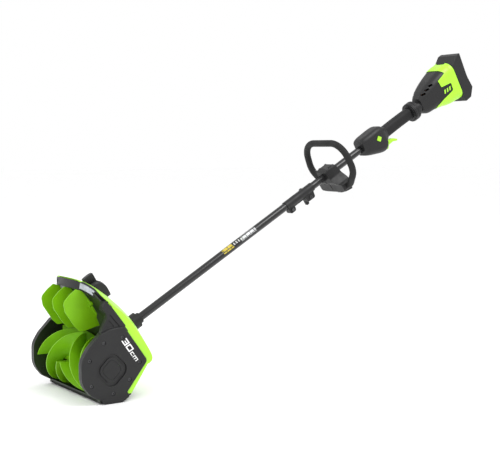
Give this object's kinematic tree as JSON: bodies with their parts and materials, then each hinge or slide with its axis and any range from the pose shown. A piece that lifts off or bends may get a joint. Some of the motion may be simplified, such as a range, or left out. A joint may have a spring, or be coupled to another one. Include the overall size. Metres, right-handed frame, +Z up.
{
  "type": "cordless snow shovel",
  "caption": "Battery powered snow shovel: ribbed auger in a domed housing with steering vanes, on a long two-part shaft with a loop handle and rear powerhead.",
  "frame": {"origin": "on the ground under the middle of the auger axis, on the scraper strip's underside", "axes": "+Y rearward along the ground towards the powerhead, +Z up, +X to the user's left, along the auger axis towards the belt side"},
  "size_m": [0.346, 1.5949, 1.0328],
  "materials": {
    "green_plastic": "moulded lime green, satin gloss",
    "dark_green_plastic": "moulded leaf green, semi gloss",
    "black_plastic": "moulded charcoal, fine texture",
    "battery_plastic": "moulded charcoal, fine texture",
    "black_tube": "powder coated tube, glossy",
    "soft_grip": "soft over-moulding",
    "steel": "turned and ground",
    "screw_steel": "dark zinc plated",
    "bronze": "sintered bronze",
    "belt_rubber": "moulded drive belt",
    "lens": "clear lens over a silvered reflector",
    "scraper_plastic": "wear resistant strip",
    "circuit": "lacquered board",
    "copper": "wound copper"
  },
  "bodies": {
    "frame": {"hood_shell": "green_plastic", "front_trim": "black_plastic", "side_cover_right": "black_plastic", "side_cover_left": "black_plastic", "cover_screws": "screw_steel", "skid_shoes": "black_plastic", "scraper_blade": "scraper_plastic", "scraper_screws": "screw_steel", "headlight_right": "lens", "headlight_left": "lens", "gearbox_housing": "black_plastic", "drive_bearings": "bronze", "drive_belt": "belt_rubber", "lever_pod": "black_plastic", "shaft_collar": "black_plastic", "lower_tube": "black_tube", "upper_tube": "black_tube", "shaft_bushes": "bronze", "coupler_sleeve": "black_plastic", "coupler_bolts": "screw_steel", "handle_right": "black_plastic", "handle_left": "black_plastic", "grip_sleeve": "soft_grip", "trigger_pin": "steel", "trigger_switch": "black_plastic", "lock_spring": "steel", "grip_flange": "black_plastic", "motor_housing_right": "black_plastic", "motor_housing_left": "black_plastic", "green_band": "green_plastic", "motor_stator": "copper", "controller": "circuit", "battery_dock": "black_plastic"},
    "auger": {"auger": "dark_green_plastic", "auger_axle": "steel", "auger_pulley": "black_plastic"},
    "cross_drive": {"cross_shaft": "steel", "bevel_gear": "steel", "small_pulley": "black_plastic"},
    "drive_train": {"drive_pinion": "steel", "lower_drive_shaft": "steel", "upper_drive_shaft": "steel", "shaft_socket": "steel", "motor_rotor": "steel", "cooling_fan": "black_plastic"},
    "centre_vane": {"vane_centre": "dark_green_plastic", "vane_lever": "black_plastic"},
    "left_vane": {"vane_left": "dark_green_plastic"},
    "right_vane": {"vane_right": "dark_green_plastic"},
    "tie_bar": {"vane_tie_bar": "black_plastic"},
    "wing_knob": {"wing_knob": "black_plastic"},
    "assist_handle": {"loop_handle": "soft_grip", "handle_clamp": "black_plastic", "clamp_screws": "screw_steel"},
    "clamp_lever": {"clamp_lever": "black_plastic"},
    "trigger": {"trigger": "green_plastic"},
    "lock_button": {"lock_button": "green_plastic"},
    "battery": {"battery_case": "battery_plastic", "battery_cells": "steel"},
    "battery_latch": {"battery_latch": "battery_plastic"}
  },
  "joints": [
    {"name": "auger_spin", "type": "hinge", "parent": "frame", "child": "auger", "pos_m": [0, 0, 0.093], "axis": [1, 0, 0], "continuous": true},
    {"name": "cross_spin", "type": "hinge", "parent": "frame", "child": "cross_drive", "pos_m": [0, 0.0913, 0.14685], "axis": [1, 0, 0], "continuous": true},
    {"name": "drive_spin", "type": "hinge", "parent": "frame", "child": "drive_train", "pos_m": [0, 0.12059, 0.16412], "axis": [0, 0.8614, 0.508], "continuous": true},
    {"name": "vane_steer", "type": "hinge", "parent": "frame", "child": "centre_vane", "pos_m": [0, -0.00983, 0.26715], "axis": [0, 0.8614, 0.508], "range_deg": [-25, 25]},
    {"name": "left_vane_turn", "type": "hinge", "parent": "frame", "child": "left_vane", "pos_m": [-0.075, -0.00983, 0.26715], "axis": [0, 0.8614, 0.508], "range_deg": [-25, 25]},
    {"name": "right_vane_turn", "type": "hinge", "parent": "frame", "child": "right_vane", "pos_m": [0.075, -0.00983, 0.26715], "axis": [0, 0.8614, 0.508], "range_deg": [-25, 25]},
    {"name": "tie_bar_turn", "type": "hinge", "parent": "centre_vane", "child": "tie_bar", "pos_m": [0, 0.00135, 0.2482], "axis": [0, 0.8614, 0.508], "range_deg": [-25, 25]},
    {"name": "coupler_knob", "type": "hinge", "parent": "frame", "child": "wing_knob", "pos_m": [0, 0.80414, 0.54054], "axis": [1, 0, 0], "range_deg": [-720, 0]},
    {"name": "handle_position", "type": "slide", "parent": "frame", "child": "assist_handle", "axis": [0, 0.8614, 0.508], "range_m": [-0.05, 0.085]},
    {"name": "clamp_release", "type": "hinge", "parent": "assist_handle", "child": "clamp_lever", "pos_m": [0, 0.93224, 0.56152], "axis": [1, 0, 0], "range_deg": [-70, 0]},
    {"name": "throttle", "type": "hinge", "parent": "frame", "child": "trigger", "pos_m": [0, 1.11916, 0.70717], "axis": [1, 0, 0], "range_deg": [0, 10], "stiffness_Nm_per_rad": 0.5, "springref_deg": -10.03},
    {"name": "lock_off", "type": "slide", "parent": "frame", "child": "lock_button", "axis": [-1, 0, 0], "range_m": [0, 0.004], "stiffness_N_per_m": 200, "springref_m": -0.004},
    {"name": "battery_slide", "type": "slide", "parent": "frame", "child": "battery", "axis": [0, -0.508, 0.8614], "range_m": [0, 0.11]},
    {"name": "battery_release", "type": "slide", "parent": "battery", "child": "battery_latch", "axis": [0, -0.988, 0.1542], "range_m": [0, 0.003], "stiffness_N_per_m": 300, "springref_m": -0.003}
  ],
  "couplings": [
    {"joint": "cross_spin", "follows": "auger_spin", "ratio": 4},
    {"joint": "drive_spin", "follows": "auger_spin", "ratio": -4},
    {"joint": "left_vane_turn", "follows": "vane_steer", "ratio": 1},
    {"joint": "right_vane_turn", "follows": "vane_steer", "ratio": 1},
    {"joint": "tie_bar_turn", "follows": "vane_steer", "ratio": -1}
  ]
}
